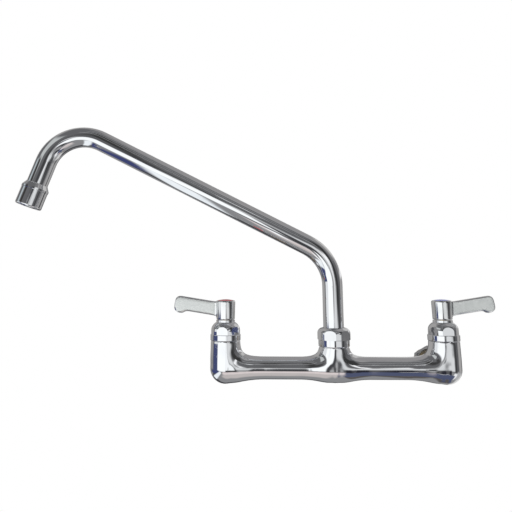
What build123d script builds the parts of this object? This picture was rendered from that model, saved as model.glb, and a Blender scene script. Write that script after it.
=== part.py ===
from build123d import *
from collections import namedtuple
import math
import os

# Wall faucet with two lever valves and a swinging tube spout, in millimetres.
# X runs along the body to the cold side, Y runs back into the wall, Z is up.
# The origin lies on the wall face, midway between the two inlet shanks.

# ---------------------------------------------------------------- body casting
inlet_spacing = 203.2           # between the valve axes, and between the inlet shanks
wall_standoff = 30.0            # from the wall face forward to the valve axes
barrel_height = 25.2            # from the arm axis up to the barrel's top face
barrel_top_radius = 13.8
barrel_base_radius = 14.2       # the barrel has draft, and a hemispherical bottom
arm_waist_radius = 10.15
arm_root_radius = 13.0          # where the arm runs into a barrel
flare_length = 36.0             # over which the arm grows to its root radius
belly_radius = 12.7             # under the centre boss
belly_half_length = 32.0
boss_top_radius = 13.6
boss_base_radius = 13.1
boss_drop = 5.3                 # the boss's shoulder lies this far under the barrel tops
barrel_fillet = 7.0
boss_fillet = 8.0
boss_fillet_share = 1.12        # most of the boss's height over the belly that its fillet may take
inlet_boss_radius = 12.4

# Water passages and bores of the casting
bonnet_bore_radius = 12.1
bonnet_bore_depth = 8.0
chamber_radius = 10.2
chamber_floor_drop = 3.0        # floor of the cartridge chamber, under the arm axis
seat_port_radius = 4.5
seat_thickness = 2.0
pocket_radius = 6.0             # pocket under the seat that the inlet fills
pocket_wall = 2.8
inlet_port_radius = 2.9
arm_bore_radius = 5.2
arm_bore_rise = 2.3
spout_thread_radius = 12.25
spout_thread_height = 9.3
socket_radius = 10.3
socket_depth = 16.3             # from the top of the spout thread
socket_port_radius = 7.0

# ---------------------------------------------------------------- inlets
gasket_thickness = 2.0
shank_radius = 10.48
shank_bore_radius = 7.5
shank_engagement = 14.0         # length screwed into the casting
shank_reach = 32.0              # length behind the wall face
shank_chamfer = 1.2
thread_clearance = 0.06
wall_thickness = 8.4            # panel that the faucet is clamped to
washer_radius = 14.0
washer_thickness = 1.6
washer_chamfer = 0.3
locknut_flats = 26.7
locknut_height = 8.0
locknut_chamfer = 1.2
locknut_flank = 0.6             # height of the chamfer at the corners
locknut_turn = 30.0             # degrees, a corner stands up where the nut ran tight

# ---------------------------------------------------------------- bonnet
bonnet_radius = 13.7
collar_step = 0.5               # from the bonnet's side out to the collar's
collar_height = 5.3
bonnet_flats = 25.4
bonnet_shoulder = 8.5           # where the side turns into the dome, above the barrel
dome_radius = 9.0
neck_radius = 8.8
neck_height = 2.0
bonnet_thread_length = 5.0
bonnet_thread_clearance = 0.15
collar_edge = 0.4

# ---------------------------------------------------------------- cartridge
chamber_clearance = 0.2
housing_flange_height = 3.0
housing_neck_radius = 6.0
housing_neck_drop = 0.6         # the housing ends this far under the bonnet's top
neck_clearance = 0.1
disc_bore_radius = 8.6
disc_radius = 8.45
disc_thickness = 3.0
seal_thickness = 1.5
disc_lap_gap = 0.05
fixed_port_radius = 1.2
fixed_port_offset = 2.3
moving_port_radius = 2.4
moving_port_offset = 4.7
window_height = 6.0
window_width = 9.0
stem_foot_thickness = 2.3
foot_clearance = 0.35
stem_radius = 4.0
stem_fit = 0.08                 # radial running clearance of the stem
spline_radius = 3.8
spline_length = 10.0
spline_teeth = 18
spline_notch = 0.6              # side of the square notches, set cornerwise
tang_width = 4.0
tang_length = 9.0
tang_depth = 1.2
oring_section = 0.6             # radius of the stem seal's section
oring_height = 7.0              # centre of the stem seal, above the barrel
oring_room = 1.4                # half width of its groove over the section's radius

# ---------------------------------------------------------------- levers
hub_gap = 0.5
hub_height = 17.8
hub_top_radius = 9.2
hub_base_radius = 8.7
hub_round = 1.6
hub_foot_round = 0.5
hub_bore_clearance = 0.08
blade_rise = 9.2                # degrees, upward away from the hub
blade_height = 13.2
blade_thickness = 5.6
blade_centre = 8.5              # of the blade's middle line at the axis, above the hub's base
blade_length = 49.2
bulb_drop = 2.8                 # of the rounded tip under the blade's lower edge
bulb_length = 9.3
bulb_run = 2.4
tip_round = 4.7
bulb_round = 5.6
bulb_blend = 3.4
blade_edge = 1.1
blade_root_fillet = 1.8
screw_head_radius = 4.2
screw_head_height = 3.0
screw_head_round = 0.75
screw_radius = 2.0
screw_length = 9.0
screw_clearance = 0.2
screw_slot = 1.2
screw_slot_depth = 1.5
index_radius = 7.3
index_depth = 2.2
index_crown = 0.9
index_clearance = 0.12

# ---------------------------------------------------------------- spout
swing_angle = 6.0               # degrees, from straight left towards the user
tube_radius = 9.525
tube_wall = 1.2
riser_height = 102.45           # of the first corner of the tube's path above the arm axis
arm_angle = 26.5                # degrees, climb of the long run
arm_length = 289.0              # between the two corners of the path
tip_angle = 71.5                # degrees, fall of the tip
tip_length = 87.3               # from the second corner to the outlet face
riser_bend = 43.5
tip_bend = 36.7
braze_gap = 0.05
ferrule_flange_radius = 11.5
ferrule_flange_height = 2.0
ferrule_bore_radius = 7.4
ferrule_socket = 7.6            # depth that the tube sits in the ferrule
ferrule_fit = 0.1
ferrule_chamfer = 0.6
seal_section = 0.82             # radius of the spout O-rings' section
seal_room = 1.3                 # half width of their grooves over the section's radius
seal_spacing = 4.6
seal_start = 3.0                # of the lower O-ring above the socket's floor
seal_fit = 0.04
running_gap = 0.3
glide_ring_height = 1.4

# ---------------------------------------------------------------- spout nut
nut_skirt_radius = 14.4
nut_skirt_height = 5.9
nut_flats = 28.6
nut_corner_radius = 15.3
nut_hex_height = 5.6
nut_crown = 5.4
nut_thread_clearance = 0.15
nut_ring_clearance = 0.15
nut_edge = 0.4
nut_turn = -22.0                # degrees, where the nut ran tight

# ---------------------------------------------------------------- outlet
outlet_radius = 12.0
outlet_length = 22.7
outlet_shoulder = 4.0
outlet_socket = 7.0             # depth that the tube sits in the outlet fitting
outlet_lip = 1.6
outlet_bead = 0.35
outlet_bead_length = 2.2
aerator_bore_radius = 10.1
aerator_bore_depth = 12.7
aerator_clearance = 0.12
aerator_recess = 0.6            # the aerator lies this far inside the mouth
aerator_wall = 1.3
aerator_ledge = 1.5
aerator_ledge_height = 1.2
washer_seal_height = 0.9
screen_thickness = 1.0
screen_hole = 1.3
screen_pitch = 2.15
screen_ring = 1.4
throat_radius = 8.2

# ---------------------------------------------------------------- derived places
end_x = inlet_spacing / 2
boss_shoulder = barrel_height - boss_drop
spout_thread_top = boss_shoulder + spout_thread_height
collar_radius = bonnet_radius + collar_step
dome_angle = math.degrees(math.acos((neck_radius - bonnet_radius + dome_radius) / dome_radius))
dome_height = dome_radius * math.sin(math.radians(dome_angle))
bonnet_height = bonnet_shoulder + dome_height + neck_height
chamber_floor = -chamber_floor_drop - barrel_height     # below the barrel's top face
hub_base = bonnet_height + hub_gap
hub_top = hub_base + hub_height
index_seat = hub_top - index_depth
screw_seat = index_seat - screw_head_height - screw_clearance
stem_top = hub_base + spline_length

socket_floor = spout_thread_top - socket_depth
flange_base = spout_thread_top + running_gap
flange_top = flange_base + ferrule_flange_height
ring_top = flange_top + running_gap + glide_ring_height
nut_height = nut_skirt_height + nut_hex_height + nut_crown
tube_foot = flange_top - ferrule_socket
seal_heights = (socket_floor + seal_start, socket_floor + seal_start + seal_spacing)
pocket_top = -chamber_floor_drop - seat_thickness
pocket_bottom = pocket_wall - barrel_base_radius

# The levers point outward; each bonnet stopped turning where its thread ran tight.
Valve = namedtuple("Valve", "name x heading bonnet_turn")
VALVES = (Valve("hot", -end_x, 180.0, -11.0), Valve("cold", end_x, 0.0, 0.0))


def upright(x=0.0, height=0.0, heading=0.0, rise=0.0):
    """Vertical plane through a valve or spout axis: local x points along heading, climbing by rise."""
    turn, climb = math.radians(heading), math.radians(rise)
    level_way = Vector(math.cos(turn), math.sin(turn), 0)
    up = Vector(0, 0, 1)
    way = level_way * math.cos(climb) + up * math.sin(climb)
    return Plane(origin=(x, -wall_standoff, height), x_dir=way, z_dir=level_way.cross(up))


def level(x=0.0, height=0.0):
    """Horizontal plane centred on a valve or spout axis."""
    return Plane(origin=(x, -wall_standoff, height))


def plumb(x=0.0):
    """Vertical axis of a valve or of the spout."""
    return Axis((x, -wall_standoff, 0), (0, 0, 1))


def inlet_plane(x, y, height=0.0):
    """Plane square to an inlet shank, at depth y, facing the wall."""
    return Plane(origin=(x, y, height), x_dir=(1, 0, 0), z_dir=(0, 1, 0))


spout_plane = upright(heading=180 + swing_angle)


def spout_point(point):
    """Place in space of a point (outward, up) in the spout's plane."""
    return spout_plane.from_local_coords((*point, 0))


def spout_way(climb):
    """Direction in the spout's plane that climbs by an angle as it runs outward."""
    angle = math.radians(climb)
    return spout_plane.x_dir * math.cos(angle) + spout_plane.y_dir * math.sin(angle)


def finish(piece, name):
    """Label a finished piece and write it."""
    piece.part.label = name
    export_step(piece.part, f"parts/{name}.step")


def post_outline(x, height, top_radius, base_radius):
    """Half outline of an upright post with draft and a round bottom, centred on the arms."""
    with BuildSketch(upright(x)) as outline:
        with BuildLine():
            side = Polyline((0, height), (top_radius, height), (base_radius, 0))
            bottom = JernArc(side @ 1, (0, -1), base_radius, -90)
            Line(bottom @ 1, side @ 0)
        make_face()
    return outline.sketch


def make_body():
    """Cast body: two barrels, centre boss, swelling arms, rear inlet bosses and all bores."""
    with BuildPart() as faucet_body:
        # Hot arm: slim, swelling towards the centre and towards its barrel
        with BuildSketch(upright(heading=180)):
            with BuildLine():
                belly = Spline((0, belly_radius), (belly_half_length, arm_waist_radius),
                               tangents=((1, 0), (1, 0)))
                waist = Line(belly @ 1, (end_x - flare_length, arm_waist_radius))
                flare = Spline(waist @ 1, (end_x, arm_root_radius), tangents=((1, 0), (1, 0)))
                Polyline(flare @ 1, (end_x, 0), (0, 0), belly @ 0)
            make_face()
        revolve(axis=Axis((0, -wall_standoff, 0), (1, 0, 0)))

        # Hot barrel with its inlet boss, then the same on the cold side, then the centre boss
        barrel = post_outline(-end_x, barrel_height, barrel_top_radius, barrel_base_radius)
        revolve(barrel, axis=plumb(-end_x))
        fillet(faucet_body.edges(Select.NEW), barrel_fillet)
        with BuildSketch(inlet_plane(-end_x, -wall_standoff)):
            Circle(inlet_boss_radius)
        extrude(amount=wall_standoff - gasket_thickness)
        mirror(about=Plane.YZ)
        revolve(post_outline(0, boss_shoulder, boss_top_radius, boss_base_radius), axis=plumb())
        blend = min(boss_fillet, boss_fillet_share * (boss_shoulder - belly_radius))
        fillet(faucet_body.edges(Select.NEW), blend)

        # Thread that carries the spout nut
        with BuildSketch(level(0, boss_shoulder)):
            Circle(spout_thread_radius)
        extrude(amount=spout_thread_height)

        # Spout socket, its port and the passage through both arms
        bores = [(0, spout_thread_top, socket_floor, socket_radius),
                 (0, socket_floor, arm_bore_rise, socket_port_radius)]
        # Bonnet thread, cartridge chamber, seat port and the pocket under the seat
        for valve in VALVES:
            bores += [(valve.x, barrel_height, barrel_height - bonnet_bore_depth, bonnet_bore_radius),
                      (valve.x, barrel_height, -chamber_floor_drop, chamber_radius),
                      (valve.x, -chamber_floor_drop, pocket_top, seat_port_radius),
                      (valve.x, pocket_top, pocket_bottom, pocket_radius)]
        for x, top, bottom_height, radius in bores:
            with BuildSketch(level(x, top)):
                Circle(radius)
            extrude(amount=bottom_height - top, mode=Mode.SUBTRACT)
        with BuildSketch(Plane(origin=(-end_x, -wall_standoff, arm_bore_rise), z_dir=(1, 0, 0))):
            Circle(arm_bore_radius)
        extrude(amount=inlet_spacing, mode=Mode.SUBTRACT)

        # Inlet thread, and the low port that feeds the pocket
        for valve in VALVES:
            with BuildSketch(inlet_plane(valve.x, -gasket_thickness)):
                Circle(shank_radius + thread_clearance)
            extrude(amount=-shank_engagement, mode=Mode.SUBTRACT)
            with BuildSketch(inlet_plane(valve.x, -wall_standoff, (pocket_top + pocket_bottom) / 2)):
                Circle(inlet_port_radius)
            extrude(amount=wall_standoff - gasket_thickness - shank_engagement, mode=Mode.SUBTRACT)
    finish(faucet_body, "faucet_body")


def make_inlet(valve):
    """Shank, gasket, washer and locknut that clamp one inlet to the wall."""
    with BuildPart() as shank:
        with BuildSketch(inlet_plane(valve.x, -gasket_thickness - shank_engagement)):
            Circle(shank_radius)
            Circle(shank_bore_radius, mode=Mode.SUBTRACT)
        extrude(amount=shank_engagement + gasket_thickness + shank_reach)
        outer_end = shank.faces().sort_by(Axis.Y)[-1].edges().sort_by(SortBy.RADIUS)[-1]
        chamfer(outer_end, shank_chamfer)
    finish(shank, f"{valve.name}_inlet_shank")

    with BuildPart() as gasket:
        with BuildSketch(inlet_plane(valve.x, -gasket_thickness)):
            Circle(inlet_boss_radius)
            Circle(shank_radius + thread_clearance, mode=Mode.SUBTRACT)
        extrude(amount=gasket_thickness)
    finish(gasket, f"{valve.name}_wall_gasket")

    with BuildPart() as washer:
        with BuildSketch(inlet_plane(valve.x, wall_thickness)):
            Circle(washer_radius)
            Circle(shank_radius + thread_clearance, mode=Mode.SUBTRACT)
        extrude(amount=washer_thickness)
        chamfer(washer.edges().filter_by(GeomType.CIRCLE).sort_by(SortBy.RADIUS)[-2:], washer_chamfer)
    finish(washer, f"{valve.name}_mounting_washer")

    with BuildPart() as locknut:
        corner = locknut_flats / math.sqrt(3)
        with BuildSketch(Plane((valve.x, wall_thickness + washer_thickness, 0))):
            with BuildLine():
                Polyline((0, 0), (corner - locknut_chamfer, 0), (corner, locknut_flank),
                         (corner, locknut_height - locknut_flank),
                         (corner - locknut_chamfer, locknut_height), (0, locknut_height), close=True)
            make_face()
        revolve(axis=Axis((valve.x, 0, 0), (0, 1, 0)))
        with BuildSketch(inlet_plane(valve.x, wall_thickness + washer_thickness)):
            RegularPolygon(locknut_flats / 2, 6, major_radius=False, rotation=locknut_turn)
            Circle(shank_radius + thread_clearance, mode=Mode.SUBTRACT)
        extrude(amount=locknut_height, mode=Mode.INTERSECT)
    finish(locknut, f"{valve.name}_locknut")


def make_bonnet(valve):
    """Domed bonnet with wrench flats, collar and the short thread that holds the cartridge."""
    with BuildPart() as bonnet:
        with BuildSketch(upright(valve.x, barrel_height)):
            with BuildLine():
                side = Polyline((0, 0), (bonnet_radius, 0), (bonnet_radius, bonnet_shoulder))
                dome = JernArc(side @ 1, (0, 1), dome_radius, dome_angle)
                Polyline(dome @ 1, (neck_radius, bonnet_height), (0, bonnet_height), (0, 0))
            make_face()
        revolve(axis=plumb(valve.x))
        with BuildSketch(level(valve.x, barrel_height)):
            RegularPolygon(bonnet_flats / 2, 6, major_radius=False, rotation=valve.bonnet_turn)
        extrude(amount=bonnet_height, mode=Mode.INTERSECT)
        with BuildSketch(level(valve.x, barrel_height)):
            Circle(collar_radius)
        extrude(amount=collar_height)
        rim = bonnet.edges().filter_by(GeomType.CIRCLE).sort_by(SortBy.RADIUS)[-2:]
        fillet(rim, collar_edge)
        with BuildSketch(level(valve.x, barrel_height)):
            Circle(bonnet_bore_radius - bonnet_thread_clearance)
        extrude(amount=-bonnet_thread_length)
        # Room for the cartridge: wide in the thread, narrow in the neck
        wide = chamber_radius - chamber_clearance
        with BuildSketch(level(valve.x, barrel_height - bonnet_thread_length)):
            Circle(wide)
        extrude(amount=bonnet_thread_length + collar_height, mode=Mode.SUBTRACT)
        with BuildSketch(level(valve.x, barrel_height)):
            Circle(housing_neck_radius + neck_clearance)
        extrude(amount=bonnet_height, mode=Mode.SUBTRACT)
    finish(bonnet, f"{valve.name}_bonnet")


def make_cartridge(valve):
    """Quarter-turn ceramic cartridge: housing, seat seal, two discs, stem and its seal."""
    housing_radius = chamber_radius - chamber_clearance
    disc_floor = chamber_floor + seal_thickness
    lap = disc_floor + disc_thickness
    moving_base = lap + disc_lap_gap
    moving_top = moving_base + disc_thickness
    foot_top = moving_top + stem_foot_thickness
    disc_room_top = foot_top + foot_clearance

    with BuildPart() as housing:
        with BuildSketch(upright(valve.x, barrel_height)):
            flange_radius = bonnet_bore_radius - chamber_clearance
            flange_top = housing_flange_height - bonnet_bore_depth
            neck_top = bonnet_height - housing_neck_drop
            bore = stem_radius + stem_fit
            with BuildLine():
                Polyline((disc_bore_radius, chamber_floor), (housing_radius, chamber_floor),
                         (housing_radius, -bonnet_bore_depth), (flange_radius, -bonnet_bore_depth),
                         (flange_radius, flange_top), (housing_neck_radius, flange_top),
                         (housing_neck_radius, neck_top), (bore, neck_top),
                         (bore, disc_room_top), (disc_bore_radius, disc_room_top), close=True)
            make_face()
        revolve(axis=plumb(valve.x))
        with BuildSketch(Plane(origin=(valve.x - chamber_radius, -wall_standoff,
                                       barrel_height + moving_base + window_height / 2),
                               x_dir=(0, 1, 0), z_dir=(1, 0, 0))):
            SlotOverall(window_width, window_height)
        extrude(amount=2 * chamber_radius, mode=Mode.SUBTRACT)
    finish(housing, f"{valve.name}_cartridge_housing")

    with BuildPart() as seat_seal:
        with BuildSketch(level(valve.x, barrel_height + chamber_floor)):
            Circle(disc_radius)
            Circle(seat_port_radius, mode=Mode.SUBTRACT)
        extrude(amount=seal_thickness)
    finish(seat_seal, f"{valve.name}_seat_seal")

    with BuildPart() as fixed_disc:
        with BuildSketch(level(valve.x, barrel_height + disc_floor)):
            Circle(disc_radius)
            with PolarLocations(fixed_port_offset, 2, start_angle=90):
                Circle(fixed_port_radius, mode=Mode.SUBTRACT)
        extrude(amount=disc_thickness)
    finish(fixed_disc, f"{valve.name}_fixed_disc")

    with BuildPart() as moving_disc:
        with BuildSketch(level(valve.x, barrel_height + moving_base)):
            Circle(disc_radius - stem_fit)
            with PolarLocations(moving_port_offset, 2):
                Circle(moving_port_radius, mode=Mode.SUBTRACT)
        extrude(amount=disc_thickness)
        with BuildSketch(level(valve.x, barrel_height + moving_top)):
            Rectangle(tang_width, tang_length)
        extrude(amount=-tang_depth, mode=Mode.SUBTRACT)
    finish(moving_disc, f"{valve.name}_moving_disc")

    with BuildPart() as stem:
        groove = stem_radius + stem_fit / 2 - 2 * oring_section
        groove_low = oring_height - oring_room * oring_section
        groove_high = oring_height + oring_room * oring_section
        with BuildSketch(upright(valve.x, barrel_height)):
            with BuildLine():
                Polyline((0, moving_top), (disc_radius - stem_fit, moving_top),
                         (disc_radius - stem_fit, foot_top), (stem_radius, foot_top),
                         (stem_radius, groove_low), (groove, groove_low),
                         (groove, groove_high), (stem_radius, groove_high),
                         (stem_radius, hub_base), (0, hub_base), close=True)
            make_face()
        revolve(axis=plumb(valve.x))
        # Tang in the moving disc's slot, and the splined end in the hub
        with BuildSketch(level(valve.x, barrel_height + moving_top)):
            Rectangle(tang_width - 2 * stem_fit, tang_length - 2 * stem_fit)
        extrude(amount=stem_fit - tang_depth)
        with BuildSketch(level(valve.x, barrel_height + hub_base)):
            Circle(spline_radius)
            with PolarLocations(spline_radius, spline_teeth):
                Rectangle(spline_notch, spline_notch, rotation=45, mode=Mode.SUBTRACT)
        extrude(amount=spline_length)
        with BuildSketch(level(valve.x, barrel_height + stem_top)):
            Circle(screw_radius + thread_clearance)
        extrude(amount=-screw_length, mode=Mode.SUBTRACT)
    finish(stem, f"{valve.name}_stem")

    with BuildPart() as stem_seal:
        with Locations(level(valve.x, barrel_height + oring_height)):
            Torus(groove + oring_section, oring_section)
    finish(stem_seal, f"{valve.name}_stem_seal")


def make_lever(valve):
    """Lever with its hub, the screw that holds it and the index button."""
    blade_plane = upright(valve.x, barrel_height + hub_base + blade_centre, valve.heading, blade_rise)
    half = blade_height / 2
    bulb_low = -half - bulb_drop
    bulb_start = blade_length - bulb_length

    with BuildPart() as lever:
        with BuildSketch(blade_plane):
            with BuildLine():
                FilletPolyline((0, -half), (bulb_start - bulb_run, -half), (bulb_start, bulb_low),
                               (blade_length, bulb_low), (blade_length, half), (0, half),
                               radius=(0, bulb_blend, bulb_blend, bulb_round, tip_round, 0), close=True)
            make_face()
        extrude(amount=blade_thickness / 2, both=True)
        fillet(lever.faces().filter_by(blade_plane).edges(), blade_edge)
        with BuildSketch(upright(valve.x, barrel_height)):
            with BuildLine():
                FilletPolyline((0, hub_base), (hub_base_radius, hub_base), (hub_top_radius, hub_top),
                               (0, hub_top), radius=(0, hub_foot_round, hub_round, 0), close=True)
            make_face()
        revolve(axis=plumb(valve.x))
        fillet(lever.edges(Select.NEW), blade_root_fillet)
        # Spline bore, screw hole, head recess and the seat of the index button
        bores = ((hub_base, stem_top + screw_clearance, spline_radius + hub_bore_clearance),
                 (stem_top, screw_seat, screw_radius + screw_clearance),
                 (screw_seat, index_seat, screw_head_radius + screw_clearance),
                 (index_seat, hub_top, index_radius + index_clearance))
        for low, high, radius in bores:
            with BuildSketch(level(valve.x, barrel_height + low)):
                Circle(radius)
            extrude(amount=high - low, mode=Mode.SUBTRACT)
    finish(lever, f"{valve.name}_lever")

    with BuildPart() as lever_screw:
        with BuildSketch(level(valve.x, barrel_height + screw_seat)):
            Circle(screw_head_radius)
        extrude(amount=screw_head_height)
        head_rim = lever_screw.edges().filter_by(GeomType.CIRCLE).sort_by(Axis.Z)[-1]
        fillet(head_rim, screw_head_round)
        with BuildSketch(level(valve.x, barrel_height + screw_seat + screw_head_height)):
            Rectangle(screw_slot, 2 * screw_head_radius)
        extrude(amount=-screw_slot_depth, mode=Mode.SUBTRACT)
        with BuildSketch(level(valve.x, barrel_height + screw_seat)):
            Circle(screw_radius)
        extrude(amount=-screw_length)
    finish(lever_screw, f"{valve.name}_lever_screw")

    with BuildPart() as index_button:
        with BuildSketch(upright(valve.x, barrel_height)):
            with BuildLine():
                crown = TangentArc((0, hub_top + index_crown), (index_radius, hub_top), tangent=(1, 0))
                Polyline(crown @ 1, (index_radius, index_seat), (0, index_seat), crown @ 0)
            make_face()
        revolve(axis=plumb(valve.x))
    finish(index_button, f"{valve.name}_index_button")


def make_spout():
    """Bent tube with the ferrule and O-rings on its foot and the outlet fitting on its tip."""
    corner = spout_point((0, riser_height))
    crest = corner + spout_way(arm_angle) * arm_length
    tube_end = crest + spout_way(-tip_angle) * (tip_length - outlet_length + outlet_socket)
    with BuildPart() as spout_tube:
        with BuildLine() as route:
            FilletPolyline(spout_point((0, tube_foot)), corner, crest, tube_end,
                           radius=(riser_bend, tip_bend))
        with BuildSketch(level(0, tube_foot)):
            Circle(tube_radius)
            Circle(tube_radius - tube_wall, mode=Mode.SUBTRACT)
        sweep(path=route.wires()[0])
    finish(spout_tube, "spout_tube")

    with BuildPart() as spout_ferrule:
        sleeve_radius = socket_radius - ferrule_fit
        groove = socket_radius - seal_fit - 2 * seal_section
        flank = seal_room * seal_section
        foot = socket_floor + running_gap
        with BuildSketch(upright()):
            with BuildLine():
                Polyline((ferrule_bore_radius, foot), (sleeve_radius - ferrule_chamfer, foot),
                         (sleeve_radius, foot + ferrule_chamfer),
                         *[point for height in seal_heights
                           for point in ((sleeve_radius, height - flank), (groove, height - flank),
                                         (groove, height + flank), (sleeve_radius, height + flank))],
                         (sleeve_radius, flange_base), (ferrule_flange_radius, flange_base),
                         (ferrule_flange_radius, flange_top), (tube_radius + braze_gap, flange_top),
                         (tube_radius + braze_gap, tube_foot), (ferrule_bore_radius, tube_foot),
                         close=True)
            make_face()
        revolve(axis=plumb())
    finish(spout_ferrule, "spout_ferrule")

    with BuildPart() as spout_seals:
        with Locations(*[level(0, height) for height in seal_heights]):
            Torus(groove + seal_section, seal_section)
    finish(spout_seals, "spout_seals")

    with BuildPart() as spout_glide_ring:
        with BuildSketch(level(0, flange_top + running_gap)):
            Circle(ferrule_flange_radius + nut_ring_clearance)
            Circle(tube_radius + running_gap, mode=Mode.SUBTRACT)
        extrude(amount=glide_ring_height)
    finish(spout_glide_ring, "spout_glide_ring")

    make_outlet(Plane(crest + spout_way(-tip_angle) * tip_length,
                      x_dir=spout_way(90 - tip_angle), z_dir=spout_plane.z_dir))


def make_outlet(tip):
    """Outlet fitting and aerator; the tip plane lies in the outlet's face, its local y up the tube."""
    axis = Axis(tip.origin, tip.y_dir)
    shoulder = outlet_length - outlet_shoulder
    with BuildPart() as outlet_fitting:
        with BuildSketch(tip):
            with BuildLine():
                bead = outlet_radius + outlet_bead
                throat = outlet_length - outlet_socket
                socket = tube_radius + braze_gap
                Polyline((aerator_bore_radius, 0), (outlet_radius, 0),
                         (outlet_radius, shoulder - outlet_bead_length),
                         (bead, shoulder - outlet_bead_length + outlet_bead), (bead, shoulder),
                         (socket + outlet_bead, outlet_length), (socket, outlet_length),
                         (socket, throat), (throat_radius, throat),
                         (throat_radius, aerator_bore_depth), (aerator_bore_radius, aerator_bore_depth),
                         close=True)
            make_face()
        revolve(axis=axis)
        mouth = outlet_fitting.edges().filter_by(GeomType.CIRCLE).sort_by(axis)[:2].sort_by(SortBy.RADIUS)
        fillet(mouth[-1], outlet_lip)
    finish(outlet_fitting, "outlet_fitting")

    shell_radius = aerator_bore_radius - aerator_clearance
    shell_top = aerator_bore_depth - washer_seal_height
    ledge_top = aerator_recess + aerator_ledge_height
    inner = shell_radius - aerator_wall
    with BuildPart() as aerator_shell:
        with BuildSketch(tip):
            with BuildLine():
                Polyline((inner - aerator_ledge, aerator_recess), (shell_radius, aerator_recess),
                         (shell_radius, shell_top), (inner, shell_top), (inner, ledge_top),
                         (inner - aerator_ledge, ledge_top), close=True)
            make_face()
        revolve(axis=axis)
    finish(aerator_shell, "aerator_shell")

    with BuildPart() as aerator_screen:
        rise = Plane(tip.origin, tip.x_dir, tip.y_dir)
        with BuildSketch(rise.offset(ledge_top)):
            Circle(inner - aerator_clearance)
            reach = inner - aerator_clearance - screen_ring - screen_hole / 2
            count = 2 * int(reach / screen_pitch) + 1
            grid = HexLocations(screen_pitch / 2, count, count).local_locations
            holes = [spot for spot in grid if spot.position.length <= reach]
            with Locations(*holes):
                RegularPolygon(screen_hole / 2, 6, mode=Mode.SUBTRACT)
        extrude(amount=screen_thickness)
    finish(aerator_screen, "aerator_screen")

    with BuildPart() as aerator_washer:
        with BuildSketch(rise.offset(shell_top)):
            Circle(shell_radius)
            Circle(throat_radius, mode=Mode.SUBTRACT)
        extrude(amount=washer_seal_height)
    finish(aerator_washer, "aerator_washer")


def make_spout_nut():
    """Round-crowned hexagon nut with a plain skirt that holds the spout on the boss."""
    with BuildPart() as spout_nut:
        with BuildSketch(upright(0, boss_shoulder)):
            with BuildLine():
                hexagon = Polyline((0, nut_skirt_height), (nut_corner_radius - nut_edge, nut_skirt_height),
                                   (nut_corner_radius, nut_skirt_height + nut_edge),
                                   (nut_corner_radius, nut_skirt_height + nut_hex_height))
                crown = JernArc(hexagon @ 1, (0, 1), nut_crown, 90)
                Polyline(crown @ 1, (0, nut_height), hexagon @ 0)
            make_face()
        revolve(axis=plumb())
        with BuildSketch(level(0, boss_shoulder)):
            RegularPolygon(nut_flats / 2, 6, major_radius=False, rotation=nut_turn)
        extrude(amount=nut_height, mode=Mode.INTERSECT)
        with BuildSketch(level(0, boss_shoulder)):
            Circle(nut_skirt_radius)
        extrude(amount=nut_skirt_height)
        fillet(spout_nut.edges().group_by(Axis.Z)[0], nut_edge)
        # Thread, room for the ferrule's flange and the glide ring, and the hole for the tube
        bores = ((boss_shoulder, flange_base, spout_thread_radius + nut_thread_clearance),
                 (flange_base, ring_top, ferrule_flange_radius + running_gap),
                 (ring_top, boss_shoulder + nut_height, tube_radius + running_gap))
        for low, high, radius in bores:
            with BuildSketch(level(0, low)):
                Circle(radius)
            extrude(amount=high - low, mode=Mode.SUBTRACT)
    finish(spout_nut, "spout_nut")


os.makedirs("parts", exist_ok=True)
make_body()
for valve in VALVES:
    make_inlet(valve)
    make_bonnet(valve)
    make_cartridge(valve)
    make_lever(valve)
make_spout_nut()
make_spout()
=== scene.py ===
import logging
import math
from collections.abc import Callable
from dataclasses import dataclass
from enum import Enum
from typing import Any

import bmesh
import bpy
import numpy as np
from mathutils import Matrix, Vector


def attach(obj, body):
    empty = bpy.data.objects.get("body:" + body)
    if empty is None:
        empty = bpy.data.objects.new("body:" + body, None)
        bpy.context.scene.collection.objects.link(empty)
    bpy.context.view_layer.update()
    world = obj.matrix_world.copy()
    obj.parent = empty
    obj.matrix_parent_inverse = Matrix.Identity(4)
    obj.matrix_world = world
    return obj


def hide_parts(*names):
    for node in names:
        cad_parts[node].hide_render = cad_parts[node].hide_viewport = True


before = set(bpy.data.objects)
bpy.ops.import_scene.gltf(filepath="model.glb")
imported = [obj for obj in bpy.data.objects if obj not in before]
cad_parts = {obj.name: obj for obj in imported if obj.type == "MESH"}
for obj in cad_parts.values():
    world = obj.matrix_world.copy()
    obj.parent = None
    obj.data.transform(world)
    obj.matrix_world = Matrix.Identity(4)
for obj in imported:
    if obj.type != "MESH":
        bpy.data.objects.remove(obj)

LOG = logging.getLogger("wall_faucet")
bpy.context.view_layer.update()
MM = 0.001
WELD = 1e-6  # metres within which two corners become one
VALVE_X = 101.6  # millimetres from the spout's swivel to each valve's axis
STANDOFF = 30.0  # millimetres from the wall's face to the plane of all three axes
HUB_RADIUS = 9.4  # millimetres, of a lever's hub
Colour = tuple[float, float, float]
Place = tuple[float, float, float]
Node = bpy.types.Node
Socket = bpy.types.NodeSocket
Array = np.ndarray


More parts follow.
